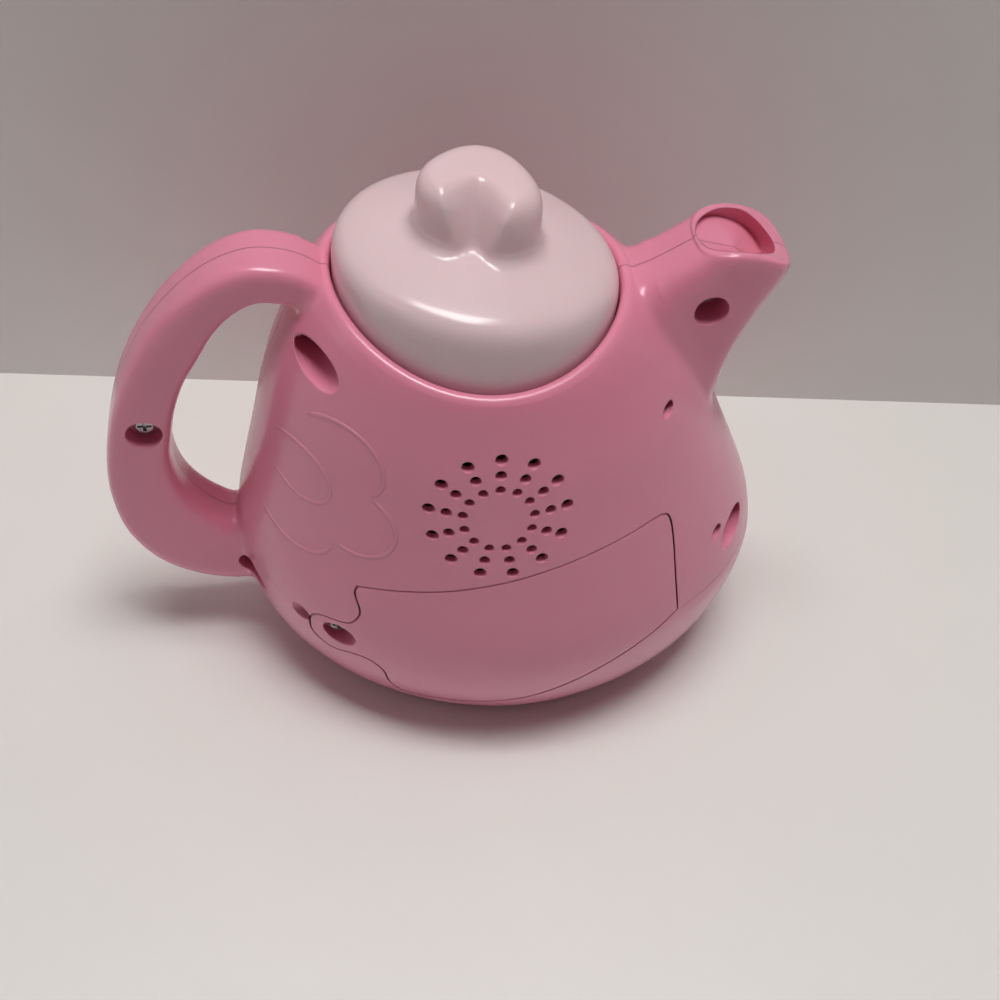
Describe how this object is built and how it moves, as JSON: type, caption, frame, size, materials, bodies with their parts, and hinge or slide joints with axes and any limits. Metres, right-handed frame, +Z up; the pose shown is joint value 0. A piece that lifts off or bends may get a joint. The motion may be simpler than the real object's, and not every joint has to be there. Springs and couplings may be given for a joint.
{
  "type": "toy teapot",
  "caption": "Squat toy teapot with a flared rim, hollow spout, loop handle, press lid with a heart knob, speaker grille, hinged battery door and a heart button.",
  "frame": {"origin": "On the table under the lid's axis, in the plane of the base.", "axes": "+X towards the spout, -Y towards the speaker side that the picture shows, +Z up."},
  "size_m": [0.1957, 0.122, 0.1721],
  "materials": {
    "shell_pink": "glossy",
    "door_pink": "glossy",
    "lid_pink": "semi-gloss, slightly translucent",
    "button_pink": "glossy",
    "white_plastic": "satin",
    "black_plastic": "satin",
    "screw_steel": "plated",
    "spring_steel": "bright",
    "contact_metal": "bright",
    "silicone": "matt",
    "board_green": "satin",
    "chip_black": "matt",
    "cell_grey": "glossy",
    "speaker_steel": "plated",
    "cone_paper": "matt",
    "led_clear": "clear",
    "wire_sheath": "glossy",
    "brass_can": "bright"
  },
  "bodies": {
    "pot": {"rear_shell": "shell_pink", "front_shell": "shell_pink", "base_cover": "shell_pink", "shell_screws": "screw_steel", "base_screws": "screw_steel", "lid_guide": "white_plastic", "guide_screws": "screw_steel", "lid_spring": "spring_steel", "lid_switch": "board_green", "lid_pad": "silicone", "speaker_frame": "speaker_steel", "speaker_cone": "cone_paper", "speaker_magnet": "speaker_steel", "speaker_clamp": "white_plastic", "clamp_screws": "screw_steel", "battery_box": "black_plastic", "box_screws": "screw_steel", "battery_1": "cell_grey", "battery_2": "cell_grey", "battery_3": "cell_grey", "contact_plates": "contact_metal", "contact_springs": "contact_metal", "button_bezel": "white_plastic", "button_pad": "silicone", "circuit_board": "board_green", "sound_chip": "chip_black", "capacitors": "chip_black", "led": "led_clear", "tilt_switch": "brass_can", "board_screws": "screw_steel", "power_switch": "black_plastic", "battery_lead": "wire_sheath", "speaker_lead": "wire_sheath"},
    "lid": {"lid": "lid_pink", "lid_carrier": "white_plastic", "lid_screw": "screw_steel"},
    "door": {"battery_door": "door_pink", "door_screw": "screw_steel"},
    "button": {"heart_button": "button_pink"},
    "knob": {"switch_knob": "white_plastic"}
  },
  "joints": [
    {"name": "lid_press", "type": "slide", "parent": "pot", "child": "lid", "axis": [0, 0, 1], "range_m": [-0.003, 0], "stiffness_N_per_m": 400, "springref_m": 0.003, "deforming": ["lid_spring", "lid_pad"]},
    {"name": "door_hinge", "type": "hinge", "parent": "pot", "child": "door", "pos_m": [0.06, -0.04987, 0.0588], "axis": [0, 0, 1], "range_deg": [0, 40]},
    {"name": "heart_press", "type": "slide", "parent": "pot", "child": "button", "axis": [0, -0.974, -0.2264], "range_m": [0, 0.002], "stiffness_N_per_m": 600, "springref_m": -0.002},
    {"name": "power_slide", "type": "slide", "parent": "pot", "child": "knob", "axis": [1, 0, 0], "range_m": [-0.004, 0.004]}
  ]
}
